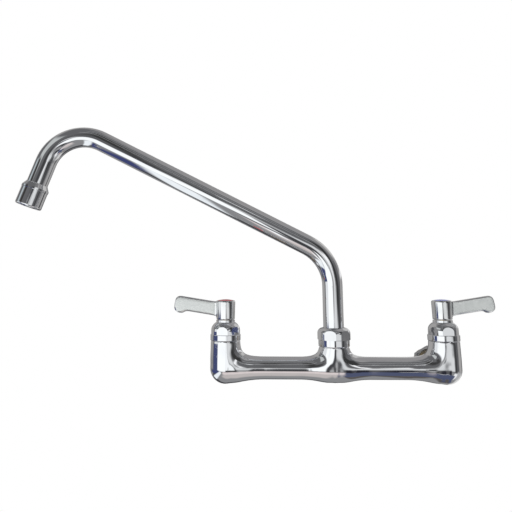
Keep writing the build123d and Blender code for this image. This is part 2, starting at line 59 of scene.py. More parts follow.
# ---------------------------------------------------------------- node writing
class NodeWriter:
    """Writes nodes into one node tree, with values and wires given together."""

    def __init__(self, tree: bpy.types.NodeTree) -> None:
        """Empties the tree.

        Args:
            tree: the node tree to fill.
        """
        tree.nodes.clear()
        self.tree = tree

    def add(self, kind: str, inputs: dict[str | int, Any] | None = None, **settings: Any) -> Node:
        """Adds one node.

        Args:
            kind: the node's type name.
            inputs: a value or a socket for each named or numbered input.
            settings: the node's own properties.

        Returns:
            The new node.
        """
        node = self.tree.nodes.new(kind)
        for key, value in settings.items():
            setattr(node, key, value)
        for key, value in (inputs or {}).items():
            if isinstance(value, Socket):
                self.tree.links.new(value, node.inputs[key])
            else:
                node.inputs[key].default_value = value
        return node

    def math(self, operation: str, first: Socket | float, second: Socket | float = 0.0) -> Socket:
        """Adds a Math node.

        Args:
            operation: what it works out.
            first: its first input.
            second: its second input.

        Returns:
            Its result.
        """
        return self.add("ShaderNodeMath", {0: first, 1: second}, operation=operation).outputs[0]

    def spread(self, value: Socket, low: Socket | float, high: Socket | float,
               out_low: float = 0.0, out_high: float = 1.0, smooth: bool = False) -> Socket:
        """Maps a value from one range to another, clamped.

        Args:
            value: the value to map.
            low: where the range starts.
            high: where it ends.
            out_low: the result at the start.
            out_high: the result at the end.
            smooth: eases both ends.

        Returns:
            The mapped value.
        """
        ends = {0: value, 1: low, 2: high, 3: out_low, 4: out_high}
        kind = "SMOOTHSTEP" if smooth else "LINEAR"
        return self.add("ShaderNodeMapRange", ends, interpolation_type=kind).outputs[0]

    def between(self, share: Socket, first: float, second: float) -> Socket:
        """Gives the first number where the share is 0 and the second where it is 1."""
        return self.spread(share, 0.0, 1.0, first, second)

    def blend(self, factor: Socket, first: Socket | Colour, second: Socket | Colour) -> Socket:
        """Mixes two colours.

        Args:
            factor: how much of the second shows.
            first: the colour at 0.
            second: the colour at 1.

        Returns:
            The mixed colour.
        """
        one, two = (colour if isinstance(colour, Socket) else (*colour, 1.0)
                    for colour in (first, second))
        return self.add("ShaderNodeMix", {0: factor, 6: one, 7: two}, data_type="RGBA").outputs[2]

    def noise(self, spot: Socket, scale: Socket | float, detail: float = 1.0) -> Node:
        """Adds noise in three dimensions.

        Args:
            spot: where it is read.
            scale: how fine it is.
            detail: how many finer layers lie on it.

        Returns:
            The noise node.
        """
        return self.add("ShaderNodeTexNoise", {"Vector": spot, "Scale": scale, "Detail": detail})

    def vector(self, operation: str, first: Socket, second: Any) -> Node:
        """Adds a Vector Math node.

        Args:
            operation: what it works out.
            first: its first input.
            second: its second input.

        Returns:
            The node.
        """
        return self.add("ShaderNodeVectorMath", {0: first, 1: second}, operation=operation)

    def glow(self, colour: Colour) -> Node:
        """Adds an Emission shader of strength 1."""
        return self.add("ShaderNodeEmission", {"Color": (*colour, 1.0), "Strength": 1.0})

    def mix_shader(self, factor: Socket, first: Node, second: Node) -> Node:
        """Mixes two shaders.

        Args:
            factor: how much of the second shows.
            first: the shader at 0.
            second: the shader at 1.

        Returns:
            The mixing node.
        """
        parts = {0: factor, 1: first.outputs[0], 2: second.outputs[0]}
        return self.add("ShaderNodeMixShader", parts)


# ---------------------------------------------------------------- shared surface effects
class Effect(Enum):
    """Surface effects that more than one finish uses, each a node group with named sockets."""

    RIPPLE = "casting ripple"
    HAIRLINES = "polishing hairlines"
    TURNING = "turning rings"
    WATER_MARKS = "dried water marks"
    TARNISH = "tarnish clouds"


class EffectShelf:
    """Builds each effect's node group once and places it where a finish asks for it."""

    SOCKETS: dict[Effect, tuple[dict[str, float], tuple[str, ...]]] = {
        Effect.RIPPLE: ({"Wave": 60.0, "Fine": 240.0}, ("Height",)),
        Effect.HAIRLINES: ({"Along": 40.0, "Across": 2600.0}, ("Height", "Mask")),
        Effect.TURNING: ({"Pitch": 2400.0}, ("Height", "Mask")),
        Effect.WATER_MARKS: ({"Scale": 90.0, "Cover": 0.35}, ("Mask",)),
        Effect.TARNISH: ({"Scale": 70.0, "Cover": 0.5}, ("Mask",)),
    }
    FINE_SHARE = 0.12  # height of the ripple's fine part, where its waves are 1
    LINE_NOISE = (0.42, 0.68)  # noise from which, and up to which, a hairline shows
    RING_DEPTH = (0.3, 0.7, 0.4, 1.0)  # slow noise, and the share of a ring's depth it leaves
    RING_SLOW = 160.0  # scale of the change of depth
    RING_SHOWN = (0.2, 0.5)  # depth from which, and up to which, a ring shows
    DROP_BEND = (300.0, 0.0012)  # scale, and metres by which drops are out of round
    DROP_RIM = (0.30, 0.035)  # a rim's radius and width, as shares of a drop's cell
    DROP_PATCH = 26.0  # scale of the patches that hold drops
    CLOUD_ROUGHNESS = 0.6
    CLOUD_EDGE = 0.22  # noise from a cloud's edge to its full strength

    def __init__(self) -> None:
        """Starts with no group built."""
        self.groups: dict[Effect, bpy.types.NodeTree] = {}

    def place(self, writer: NodeWriter, effect: Effect, spot: Socket, **amounts: float) -> Any:
        """Places an effect in a material.

        Args:
            writer: the material's node writer.
            effect: which effect.
            spot: where the pattern is read.
            amounts: values for the effect's named inputs.

        Returns:
            The group node's outputs.
        """
        if effect not in self.groups:
            self.groups[effect] = self.build(effect)
        node = writer.add("ShaderNodeGroup", node_tree=self.groups[effect])
        writer.tree.links.new(spot, node.inputs["Vector"])
        for name, amount in amounts.items():
            node.inputs[name].default_value = amount
        return node.outputs

    def build(self, effect: Effect) -> bpy.types.NodeTree:
        """Builds one effect's group.

        Args:
            effect: which effect.

        Returns:
            Its node tree.
        """
        tree = bpy.data.node_groups.new(effect.value, "ShaderNodeTree")
        amounts, outputs = self.SOCKETS[effect]
        face = tree.interface
        face.new_socket("Vector", in_out="INPUT", socket_type="NodeSocketVector")
        for name, amount in amounts.items():
            socket = face.new_socket(name, in_out="INPUT", socket_type="NodeSocketFloat")
            socket.default_value = amount
        for name in outputs:
            face.new_socket(name, in_out="OUTPUT", socket_type="NodeSocketFloat")
        writer = NodeWriter(tree)
        given = writer.add("NodeGroupInput").outputs
        made = getattr(self, f"_{effect.name.lower()}")(writer, given)
        writer.add("NodeGroupOutput", dict(zip(outputs, made)))
        return tree

    def _ripple(self, writer: NodeWriter, given: Any) -> tuple[Socket, ...]:
        """Draws the long soft waves of hand-polished metal, with finer unevenness on them.

        Args:
            writer: the group's node writer.
            given: the group's inputs.

        Returns:
            The height.
        """
        wave = writer.noise(given["Vector"], given["Wave"]).outputs[0]
        fine = writer.noise(given["Vector"], given["Fine"], 2.0).outputs[0]
        return (writer.math("ADD", wave, writer.math("MULTIPLY", fine, self.FINE_SHARE)),)

    def _hairlines(self, writer: NodeWriter, given: Any) -> tuple[Socket, ...]:
        """Draws fine straight lines along local X, left by a polishing belt.

        Args:
            writer: the group's node writer.
            given: the group's inputs.

        Returns:
            The height, and a mask of the lines.
        """
        scale = writer.add("ShaderNodeCombineXYZ",
                           {0: given["Along"], 1: given["Across"], 2: given["Across"]})
        place = writer.vector("MULTIPLY", given["Vector"], scale.outputs[0])
        lines = writer.noise(place.outputs[0], 1.0, 3.0).outputs[0]
        return lines, writer.spread(lines, *self.LINE_NOISE)

    def _turning(self, writer: NodeWriter, given: Any) -> tuple[Socket, ...]:
        """Draws fine rings along local Z, left by a lathe, with a slow change of depth.

        Args:
            writer: the group's node writer.
            given: the group's inputs.

        Returns:
            The height, and a mask of the rings.
        """
        parts = writer.add("ShaderNodeSeparateXYZ", {0: given["Vector"]})
        place = writer.math("MULTIPLY", parts.outputs[2], given["Pitch"])
        fine = writer.add("ShaderNodeTexNoise", {"W": place, "Scale": 1.0, "Detail": 2.0},
                          noise_dimensions="1D")
        slow = writer.noise(given["Vector"], self.RING_SLOW).outputs[0]
        rings = writer.math("MULTIPLY", fine.outputs[0], writer.spread(slow, *self.RING_DEPTH))
        return rings, writer.spread(rings, *self.RING_SHOWN)

    def _water_marks(self, writer: NodeWriter, given: Any) -> tuple[Socket, ...]:
        """Draws thin rims of dried drops, strewn in patches.

        Args:
            writer: the group's node writer.
            given: the group's inputs.

        Returns:
            A mask of the rims.
        """
        scale, reach = self.DROP_BEND
        radius, width = self.DROP_RIM
        bend = writer.noise(given["Vector"], scale).outputs[1]
        nudge = writer.add("ShaderNodeVectorMath", {0: bend, "Scale": reach}, operation="SCALE")
        place = writer.vector("ADD", given["Vector"], nudge.outputs[0])
        drops = writer.add("ShaderNodeTexVoronoi",
                           {"Vector": place.outputs[0], "Scale": given["Scale"]})
        rim = writer.math("ABSOLUTE", writer.math("SUBTRACT", drops.outputs[0], radius))
        line = writer.spread(rim, 0.0, width, 1.0, 0.0, smooth=True)
        patch = writer.noise(given["Vector"], self.DROP_PATCH).outputs[0]
        return (writer.math("MULTIPLY", line, writer.math("LESS_THAN", patch, given["Cover"])),)

    def _tarnish(self, writer: NodeWriter, given: Any) -> tuple[Socket, ...]:
        """Draws soft uneven clouds of tarnish or handling.

        Args:
            writer: the group's node writer.
            given: the group's inputs.

        Returns:
            A mask of the clouds.
        """
        cloud = writer.noise(given["Vector"], given["Scale"], 5.0)
        cloud.inputs["Roughness"].default_value = self.CLOUD_ROUGHNESS
        full = writer.math("ADD", given["Cover"], self.CLOUD_EDGE)
        return (writer.spread(cloud.outputs[0], given["Cover"], full, smooth=True),)


EFFECTS = EffectShelf()


class Axis(Enum):
    """The axis a piece was turned about, as the turn that brings its rings to local Z."""

    UPRIGHT = (0.0, 0.0, 0.0)
    THROUGH_WALL = (math.pi / 2, 0.0, 0.0)


# ---------------------------------------------------------------- finishes
class Canvas(NodeWriter):
    """Writes one material: its shader, the places that patterns read, and what they feed."""

    FINENESS = 4.0  # how much finer a ripple's fine part is than its waves

    def __init__(self, tree: bpy.types.NodeTree, values: dict[str, Any]) -> None:
        """Empties the tree and puts the shader in it.

        Args:
            tree: the material's node tree.
            values: the shader's plain values.
        """
        super().__init__(tree)
        self.shader = self.add("ShaderNodeBsdfPrincipled", values)
        self.add("ShaderNodeOutputMaterial", {"Surface": self.shader.outputs[0]})
        place = self.add("ShaderNodeTexCoord").outputs
        self.spot: Socket = place["Object"]
        self.normal: Socket = place["Normal"]

    def effect(self, effect: Effect, spot: Socket | None = None, **amounts: float) -> Any:
        """Places a shared effect, on Object coordinates or a spot, and gives its outputs."""
        return EFFECTS.place(self, effect, self.spot if spot is None else spot, **amounts)

    def ripple(self, wave: float) -> Socket:
        """Gives the height of a ripple, with its fine part."""
        return self.effect(Effect.RIPPLE, Wave=wave, Fine=wave * self.FINENESS)["Height"]

    def clouds(self, scale: float, cover: float) -> Socket:
        """Gives the mask of tarnish clouds."""
        return self.effect(Effect.TARNISH, Scale=scale, Cover=cover)["Mask"]

    def feed(self, key: str, value: Socket) -> None:
        """Wires a pattern to one of the shader's inputs."""
        self.tree.links.new(value, self.shader.inputs[key])

    def bump(self, height: Socket, depth: float) -> None:
        """Feeds a height to the shader's normal.

        Args:
            height: the pattern, from 0 to about 1.
            depth: metres that a height of 1 stands up.
        """
        node = self.add("ShaderNodeBump", {"Height": height, "Strength": 1.0, "Distance": depth})
        self.feed("Normal", node.outputs[0])


@dataclass(frozen=True)
class Finish:
    """A surface finish: the shader's plain values, and how its patterns are drawn."""

    name: str
    colour: Colour
    roughness: float
    metallic: float = 0.0
    coat: float = 0.0
    coat_roughness: float = 0.04

    def material(self) -> bpy.types.Material:
        """Makes the material, or gives the one already made.

        Returns:
            The material of this finish.
        """
        made = bpy.data.materials.get(self.name)
        if made is not None:
            return made
        made = bpy.data.materials.new(self.name)
        made.use_nodes = True
        made.diffuse_color = (*self.colour, 1.0)
        made.metallic, made.roughness = self.metallic, self.roughness
        self.draw(Canvas(made.node_tree, {
            "Base Color": (*self.colour, 1.0), "Roughness": self.roughness,
            "Metallic": self.metallic, "Coat Weight": self.coat,
            "Coat Roughness": self.coat_roughness}))
        return made

    def draw(self, canvas: Canvas) -> None:
        """Draws the patterns that feed the shader."""
        raise NotImplementedError


@dataclass(frozen=True)
class Chrome(Finish):
    """Bright plate: ripple of the metal below, wiping haze and a few dried drops."""

    metallic: float = 1.0
    ripple_depth: float = 0.00003
    wave: float = 55.0
    haze: float = 0.05
    drops: float = 0.10
    drop_scale: float = 130.0
    drop_cover: float = 0.40
    cloud_scale: float = 45.0
    cloud_cover: float = 0.46
    shading: float = 0.35
    shade: Colour = (0.70, 0.72, 0.75)

    def draw(self, canvas: Canvas) -> None:
        """Draws ripple, haze and drops.

        Args:
            canvas: the material's writer.
        """
        ripple = canvas.ripple(self.wave)
        marks = canvas.effect(Effect.WATER_MARKS, Scale=self.drop_scale, Cover=self.drop_cover)
        clouds = canvas.clouds(self.cloud_scale, self.cloud_cover)
        haze = canvas.math("MULTIPLY", clouds, self.haze)
        drops = canvas.math("MULTIPLY", marks["Mask"], self.drops)
        dull = canvas.math("ADD", haze, drops)
        canvas.feed("Roughness", canvas.math("ADD", dull, self.roughness))
        tint = canvas.math("MULTIPLY", clouds, self.shading)
        canvas.feed("Base Color", canvas.blend(tint, self.colour, self.shade))
        canvas.bump(ripple, self.ripple_depth)


@dataclass(frozen=True)
class LeverPlate(Finish):
    """Lever plate: polished on the hub and edges, satin with lines on the blade's broad sides."""

    metallic: float = 1.0
    handled: float = 0.05
    satin: float = 0.34
    satin_spread: float = 0.03
    satin_colour: Colour = (0.74, 0.77, 0.76)
    plated: float = 0.45
    worn: Colour = (0.58, 0.61, 0.61)
    wear: float = 0.4
    cloud_scale: float = 110.0
    cloud_cover: float = 0.45
    blade_start: float = VALVE_X * MM + HUB_RADIUS * MM
    blade_ease: float = 1.2 * MM
    broad: tuple[float, float] = (0.90, 0.985)
    lines_along: float = 120.0
    lines_across: float = 5200.0
    line_height: float = 0.02
    wave: float = 80.0
    swell: float = 9.0
    depth: float = 0.00002

    def draw(self, canvas: Canvas) -> None:
        """Draws the satin sides, the polished rest and the wear between them.

        Args:
            canvas: the material's writer.
        """
        x = canvas.add("ShaderNodeSeparateXYZ", {0: canvas.spot}).outputs[0]
        facing = canvas.add("ShaderNodeSeparateXYZ", {0: canvas.normal}).outputs[1]
        outward = canvas.math("SUBTRACT", canvas.math("ABSOLUTE", x), self.blade_start)
        blade = canvas.spread(outward, 0.0, self.blade_ease, smooth=True)
        broad = canvas.spread(canvas.math("ABSOLUTE", facing), *self.broad, smooth=True)
        side = canvas.math("MULTIPLY", blade, broad)
        lines = canvas.effect(Effect.HAIRLINES, Along=self.lines_along, Across=self.lines_across)
        clouds = canvas.clouds(self.cloud_scale, self.cloud_cover)
        grain = canvas.between(lines["Mask"], self.satin - self.satin_spread,
                               self.satin + self.satin_spread)
        canvas.feed("Metallic", canvas.between(side, 1.0, self.plated))
        polished = canvas.between(clouds, self.roughness, self.roughness + self.handled)
        rough = canvas.add("ShaderNodeMix", {0: side, 2: polished, 3: grain}, data_type="FLOAT")
        canvas.feed("Roughness", rough.outputs[0])
        tone = canvas.blend(side, self.colour, self.satin_colour)
        worn = canvas.math("MULTIPLY", clouds, self.wear)
        canvas.feed("Base Color", canvas.blend(worn, tone, self.worn))
        ripple = canvas.ripple(self.wave)
        on_side = canvas.math("MULTIPLY", lines["Height"], side)
        drawn = canvas.math("MULTIPLY", on_side, self.line_height)
        swell = canvas.math("MULTIPLY", ripple, canvas.between(side, 1.0, self.swell))
        canvas.bump(canvas.math("ADD", swell, drawn), self.depth)


@dataclass(frozen=True)
class Turned(Finish):
    """Lathe-turned metal with rings and clouds of tarnish."""

    metallic: float = 1.0
    tarnish: Colour = (0.45, 0.33, 0.18)
    cloud_scale: float = 120.0
    cloud_cover: float = 0.5
    dulling: float = 0.15
    axis: Axis = Axis.UPRIGHT
    pitch: float = 2600.0
    ring_depth: float = 0.00001
    smoother: float = 0.05
    rougher: float = 0.08

    def draw(self, canvas: Canvas) -> None:
        """Draws the rings and the tarnish.

        Args:
            canvas: the material's writer.
        """
        turned = canvas.add("ShaderNodeMapping",
                            {"Vector": canvas.spot, "Rotation": self.axis.value}).outputs[0]
        rings = canvas.effect(Effect.TURNING, turned, Pitch=self.pitch)
        clouds = canvas.clouds(self.cloud_scale, self.cloud_cover)
        canvas.feed("Base Color", canvas.blend(clouds, self.colour, self.tarnish))
        ringed = canvas.between(rings["Mask"], self.roughness - self.smoother,
                                self.roughness + self.rougher)
        dull = canvas.math("MULTIPLY", clouds, self.dulling)
        canvas.feed("Roughness", canvas.math("ADD", ringed, dull))
        canvas.bump(rings["Height"], self.ring_depth)


@dataclass(frozen=True)
class Moulded(Finish):
    """Moulded or pressed plastic, rubber or ceramic with a fine skin and handling wear."""

    worn: Colour = (0.5, 0.5, 0.5)
    wear: float = 0.2
    dulling: float = 0.12
    cloud_scale: float = 200.0
    cloud_cover: float = 0.5
    skin: float = 900.0
    skin_depth: float = 0.000004

    def draw(self, canvas: Canvas) -> None:
        """Draws the skin and the wear.

        Args:
            canvas: the material's writer.
        """
        skin = canvas.ripple(self.skin)
        clouds = canvas.clouds(self.cloud_scale, self.cloud_cover)
        worn = canvas.math("MULTIPLY", clouds, self.wear)
        canvas.feed("Base Color", canvas.blend(worn, self.colour, self.worn))
        rough = canvas.between(clouds, self.roughness, self.roughness + self.dulling)
        canvas.feed("Roughness", rough)
        canvas.bump(skin, self.skin_depth)


PLATE = (0.80, 0.81, 0.83)
BRASS = (0.78, 0.63, 0.36)
CAST_CHROME = Chrome("cast_chrome", PLATE, 0.035, ripple_depth=0.00009, wave=48.0)
TURNED_CHROME = Chrome("turned_chrome", PLATE, 0.035, ripple_depth=0.00004, wave=130.0)
TUBE_CHROME = Chrome("tube_chrome", PLATE, 0.03, ripple_depth=0.00003, wave=40.0)
LEVER_PLATE = LeverPlate("lever_plate", (0.80, 0.81, 0.82), 0.05)
RED_GLOSS = Moulded("red_gloss", (0.62, 0.03, 0.05), 0.12, coat=0.8, worn=(0.50, 0.05, 0.06))
BLUE_GLOSS = Moulded("blue_gloss", (0.04, 0.07, 0.50), 0.12, coat=0.8, worn=(0.06, 0.10, 0.42))
INLET_BRASS = Turned("inlet_brass", BRASS, 0.24, axis=Axis.THROUGH_WALL)
VALVE_BRASS = Turned("valve_brass", BRASS, 0.22)
NUT_PLATE = Turned("nut_plate", (0.76, 0.74, 0.72), 0.34, tarnish=(0.58, 0.56, 0.54),
                   axis=Axis.THROUGH_WALL)
PLAIN_STEEL = Turned("plain_steel", (0.60, 0.61, 0.62), 0.28, tarnish=(0.44, 0.43, 0.42),
                     cloud_cover=0.55)
RUBBER = Moulded("black_rubber", (0.035, 0.035, 0.037), 0.62, worn=(0.10, 0.10, 0.10), wear=0.5,
                 skin=700.0, skin_depth=0.00002)
CERAMIC = Moulded("white_ceramic", (0.88, 0.86, 0.81), 0.18, worn=(0.75, 0.73, 0.68), wear=0.3)
ACETAL = Moulded("natural_acetal", (0.84, 0.84, 0.81), 0.42, worn=(0.70, 0.70, 0.66), wear=0.4)


# ---------------------------------------------------------------- mesh making
def eased(share: Array) -> Array:
    """Eases both ends of shares from 0 to 1."""
    return share * share * (3.0 - 2.0 * share)


def dress(node: str, finish: Finish) -> None:
    """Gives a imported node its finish.

    Args:
        node: the node's name.
        finish: the finish it takes.
    """
    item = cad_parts[node]
    if not item.material_slots:
        item.data.materials.append(None)
    for slot in item.material_slots:
        slot.material = finish.material()
    LOG.info("dressed %s in %s", node, finish.name)


def enter(name: str, data: bpy.types.ID) -> bpy.types.Object:
    """Puts a mesh, a lamp or a camera in the scene.

    Args:
        name: the new object's name.
        data: what it shows.

    Returns:
        The new object.
    """
    item = bpy.data.objects.new(name, data)
    bpy.context.scene.collection.objects.link(item)
    return item


def poured(name: str, mesh: bmesh.types.BMesh) -> bpy.types.Mesh:
    """Turns a bmesh into mesh data and frees it.

    Args:
        name: the mesh data's name.
        mesh: the bmesh.

    Returns:
        The mesh data.
    """
    data = bpy.data.meshes.new(name)
    mesh.to_mesh(data)
    mesh.free()
    return data


def make_piece(name: str, mesh: bmesh.types.BMesh, finish: Finish, body: str,
               angle: float) -> bpy.types.Object:
    """Turns a bmesh into a finished piece that rides on a body.

    Args:
        name: the piece's name.
        mesh: its mesh, in metres and in place; it is freed.
        finish: the finish it takes.
        body: the body it moves with.
        angle: degrees past which an edge stays sharp.

    Returns:
        The new object.
    """
    bmesh.ops.remove_doubles(mesh, verts=mesh.verts, dist=WELD)
    bmesh.ops.recalc_face_normals(mesh, faces=mesh.faces)
    data = poured(name, mesh)
    data.materials.append(finish.material())
    data.shade_smooth()
    data.set_sharp_from_angle(angle=math.radians(angle))
    item = enter(name, data)
    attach(item, body)
    LOG.info("built %s with %d faces", name, len(data.polygons))
    return item


def settle(item: bpy.types.Object) -> None:
    """Applies an object's modifiers to its mesh.

    Args:
        item: the object.
    """
    view = bpy.context.evaluated_depsgraph_get()
    made = bpy.data.meshes.new_from_object(item.evaluated_get(view))
    item.modifiers.clear()
    item.data = made


@dataclass(frozen=True)
class Recast:
    """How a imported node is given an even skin, reshaped and smoothed. Sizes in millimetres."""

    node: str
    name: str
    voxel: float
    steps: int
    finish: Finish
    body: str
    slot: str
    calm: float = 0.5
    angle: float = 50.0

    def build(self, reshape: Callable[[Array, Array], tuple[Array, Array]]) -> None:
        """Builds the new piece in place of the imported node.

        Args:
            reshape: gives new places and smoothing weights for places and directions.
        """
        mesh = bmesh.new()
        mesh.from_mesh(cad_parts[self.node].data)
        bmesh.ops.remove_doubles(mesh, verts=mesh.verts, dist=WELD)
        item = enter("pattern", poured("pattern", mesh))
        skin = item.modifiers.new("skin", "REMESH")
        skin.mode, skin.voxel_size = "VOXEL", self.voxel * MM
        settle(item)
        spots, normals = (np.array([getattr(corner, part) for corner in item.data.vertices])
                          for part in ("co", "normal"))
        moved, weights = reshape(spots / MM, normals)
        item.data.vertices.foreach_set("co", (moved * MM).ravel())
        group = item.vertex_groups.new(name="skin")
        for weight in np.unique(weights[weights > 0.0]):
            corners = [int(number) for number in np.flatnonzero(weights == weight)]
            group.add(corners, float(weight), "REPLACE")
        calm = item.modifiers.new("calm", "SMOOTH")
        calm.factor, calm.iterations, calm.vertex_group = self.calm, self.steps, group.name
        settle(item)
        mesh = bmesh.new()
        mesh.from_mesh(item.data)
        bpy.data.objects.remove(item)
        piece = make_piece(self.name, mesh, self.finish, self.body, self.angle)
        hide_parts(self.node)


# ---------------------------------------------------------------- sub-assemblies
class Side(Enum):
    """The two valves."""

    HOT = "hot"
    COLD = "cold"

    @property
    def sign(self) -> float:
        """Gives -1 for hot, on the user's left, and 1 for cold."""
        return -1.0 if self is Side.HOT else 1.0


@dataclass
class CastBody:
    """The plated casting that carries everything, with its soft blends. Sizes in millimetres."""

    axis_x: float = VALVE_X
    standoff: float = STANDOFF
    barrel_top: float = 25.2
    shoulder: float = 19.9
    rim: float = 0.9
    belly_radius: float = 12.7
    belly_half_length: float = 32.0
    waist_radius: float = 10.15
    root_radius: float = 13.0
    flare_length: float = 36.0
    barrel_radius: float = 14.2
    barrel_draft: float = 0.4
    boss_radius: float = 13.1
    boss_draft: float = 0.5
    inlet_radius: float = 12.4
    thinnest_wall: float = 1.0
    voxel: float = 0.75
    blend_growth: float = 60.0
    widest_blend: float = 16.0
    least_blend: float = 1e-3
    fill_rounds: int = 3
    fill_ease: float = 0.1
    calm_steps: int = 10

    def dress(self) -> None:
        """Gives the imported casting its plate."""
        dress("faucet_body", CAST_CHROME)

    @staticmethod
    def limb(away: Array, radius: Array | float) -> tuple[Array, Array]:
        """Measures one limb of the casting.

        Args:
            away: places, as the way there from the nearest place on the limb's axis.
            radius: the limb's radius at each place.

        Returns:
            The distance outside the limb, and the direction away from it.
        """
        length = np.linalg.norm(away, axis=1)
        return length - radius, away / length[:, None]

    def post(self, across: Array, depth: Array, height: Array, radius: float, draft: float,
             top: float) -> tuple[Array, Array]:
        """Measures an upright post with a round bottom.

        Args:
            across: places along X from the post's axis.
            depth: places along Y from it.
            height: places along Z.
            radius: the post's radius at the bottom.
            draft: how much less its radius is at the top.
            top: height of the top.

        Returns:
            The distance outside the post, and the direction away from it.
        """
        away = np.stack([across, depth, np.minimum(height, 0.0)], 1)
        distance, way = self.limb(away, radius)
        return distance + draft * np.clip(height / top, 0.0, 1.0), way

    def arm(self, across: Array, depth: Array, height: Array) -> tuple[Array, Array]:
        """Measures the arm, which swells towards the belly and towards the barrel.

        Args:
            across: places along X from the swivel's axis, on either side.
            depth: places along Y from it.
            height: places along Z.

        Returns:
            The distance outside the arm, and the direction away from it.
        """
        belly = eased(np.clip(across / self.belly_half_length, 0.0, 1.0))
        root = (across - self.axis_x + self.flare_length) / self.flare_length
        flare = eased(np.clip(root, 0.0, 1.0))
        radius = (self.waist_radius + (self.belly_radius - self.waist_radius) * (1.0 - belly)
                  + (self.root_radius - self.waist_radius) * flare)
        away = np.stack([np.maximum(across - self.axis_x, 0.0), depth, height], 1)
        return self.limb(away, radius)

    def blend(self, first: tuple[Array, Array], second: tuple[Array, Array]) -> Array:
        """Joins two limbs with a fillet, wide where they cross and nothing where they run alike.

        Args:
            first: distance and direction of the one.
            second: distance and direction of the other.

        Returns:
            The distance outside both with their fillet, a cubic smooth minimum.
        """
        crossing = 1.0 - np.sum(first[1] * second[1], axis=1)
        growth = 1.0 - np.exp(-crossing * self.blend_growth / self.widest_blend)
        width = self.widest_blend * growth + self.least_blend
        near = np.maximum(width - np.abs(first[0] - second[0]), 0.0) / width
        return np.minimum(first[0], second[0]) - near ** 3 * width / 6.0

    def skin_distance(self, spots: Array) -> tuple[Array, Array]:
        """Measures how far places lie outside the casting.

        Args:
            spots: places in millimetres.

        Returns:
            The distance with the pattern's fillets, and without them.
        """
        across, depth, height = np.abs(spots[:, 0]), spots[:, 1] + self.standoff, spots[:, 2]
        beside = across - self.axis_x
        arm = self.arm(across, depth, height)
        barrel = self.post(beside, depth, height, self.barrel_radius, self.barrel_draft,
                           self.barrel_top)
        boss = self.post(across, depth, height, self.boss_radius, -self.boss_draft, self.shoulder)
        inlet = self.limb(np.stack([beside, np.minimum(depth, 0.0), height], 1),
                          self.inlet_radius)
        bare = np.minimum.reduce([limb[0] for limb in (arm, barrel, boss, inlet)])
        joints = ((arm, barrel), (arm, boss), (barrel, inlet))
        return np.minimum.reduce([self.blend(*pair) for pair in joints]), bare

    def reshape(self, spots: Array, normals: Array) -> tuple[Array, Array]:
        """Fills the inner corners of the outer skin as a pattern's wax fillets do.

        Args:
            spots: places on the casting, in millimetres.
            normals: its directions there.

        Returns:
            The new places, and 1 where they are on the outer skin.
        """
        top = np.where(np.abs(spots[:, 0]) > self.axis_x / 2, self.barrel_top, self.shoulder)
        outer = self.skin_distance(spots)[1] > -self.thinnest_wall
        outer &= spots[:, 2] < top - self.rim
        moved = spots
        for _ in range(self.fill_rounds):
            fill = -self.skin_distance(moved)[0] + np.sum((moved - spots) * normals, axis=1)
            fill = (fill + np.hypot(fill, self.fill_ease)) / 2.0
            moved = spots + normals * np.where(outer, fill, 0.0)[:, None]
        return moved, outer.astype(float)

    def build(self) -> None:
        """Builds the casting with soft inner corners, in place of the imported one."""
        Recast("faucet_body", "casting", self.voxel, self.calm_steps, CAST_CHROME, "faucet",
               "chrome").build(self.reshape)


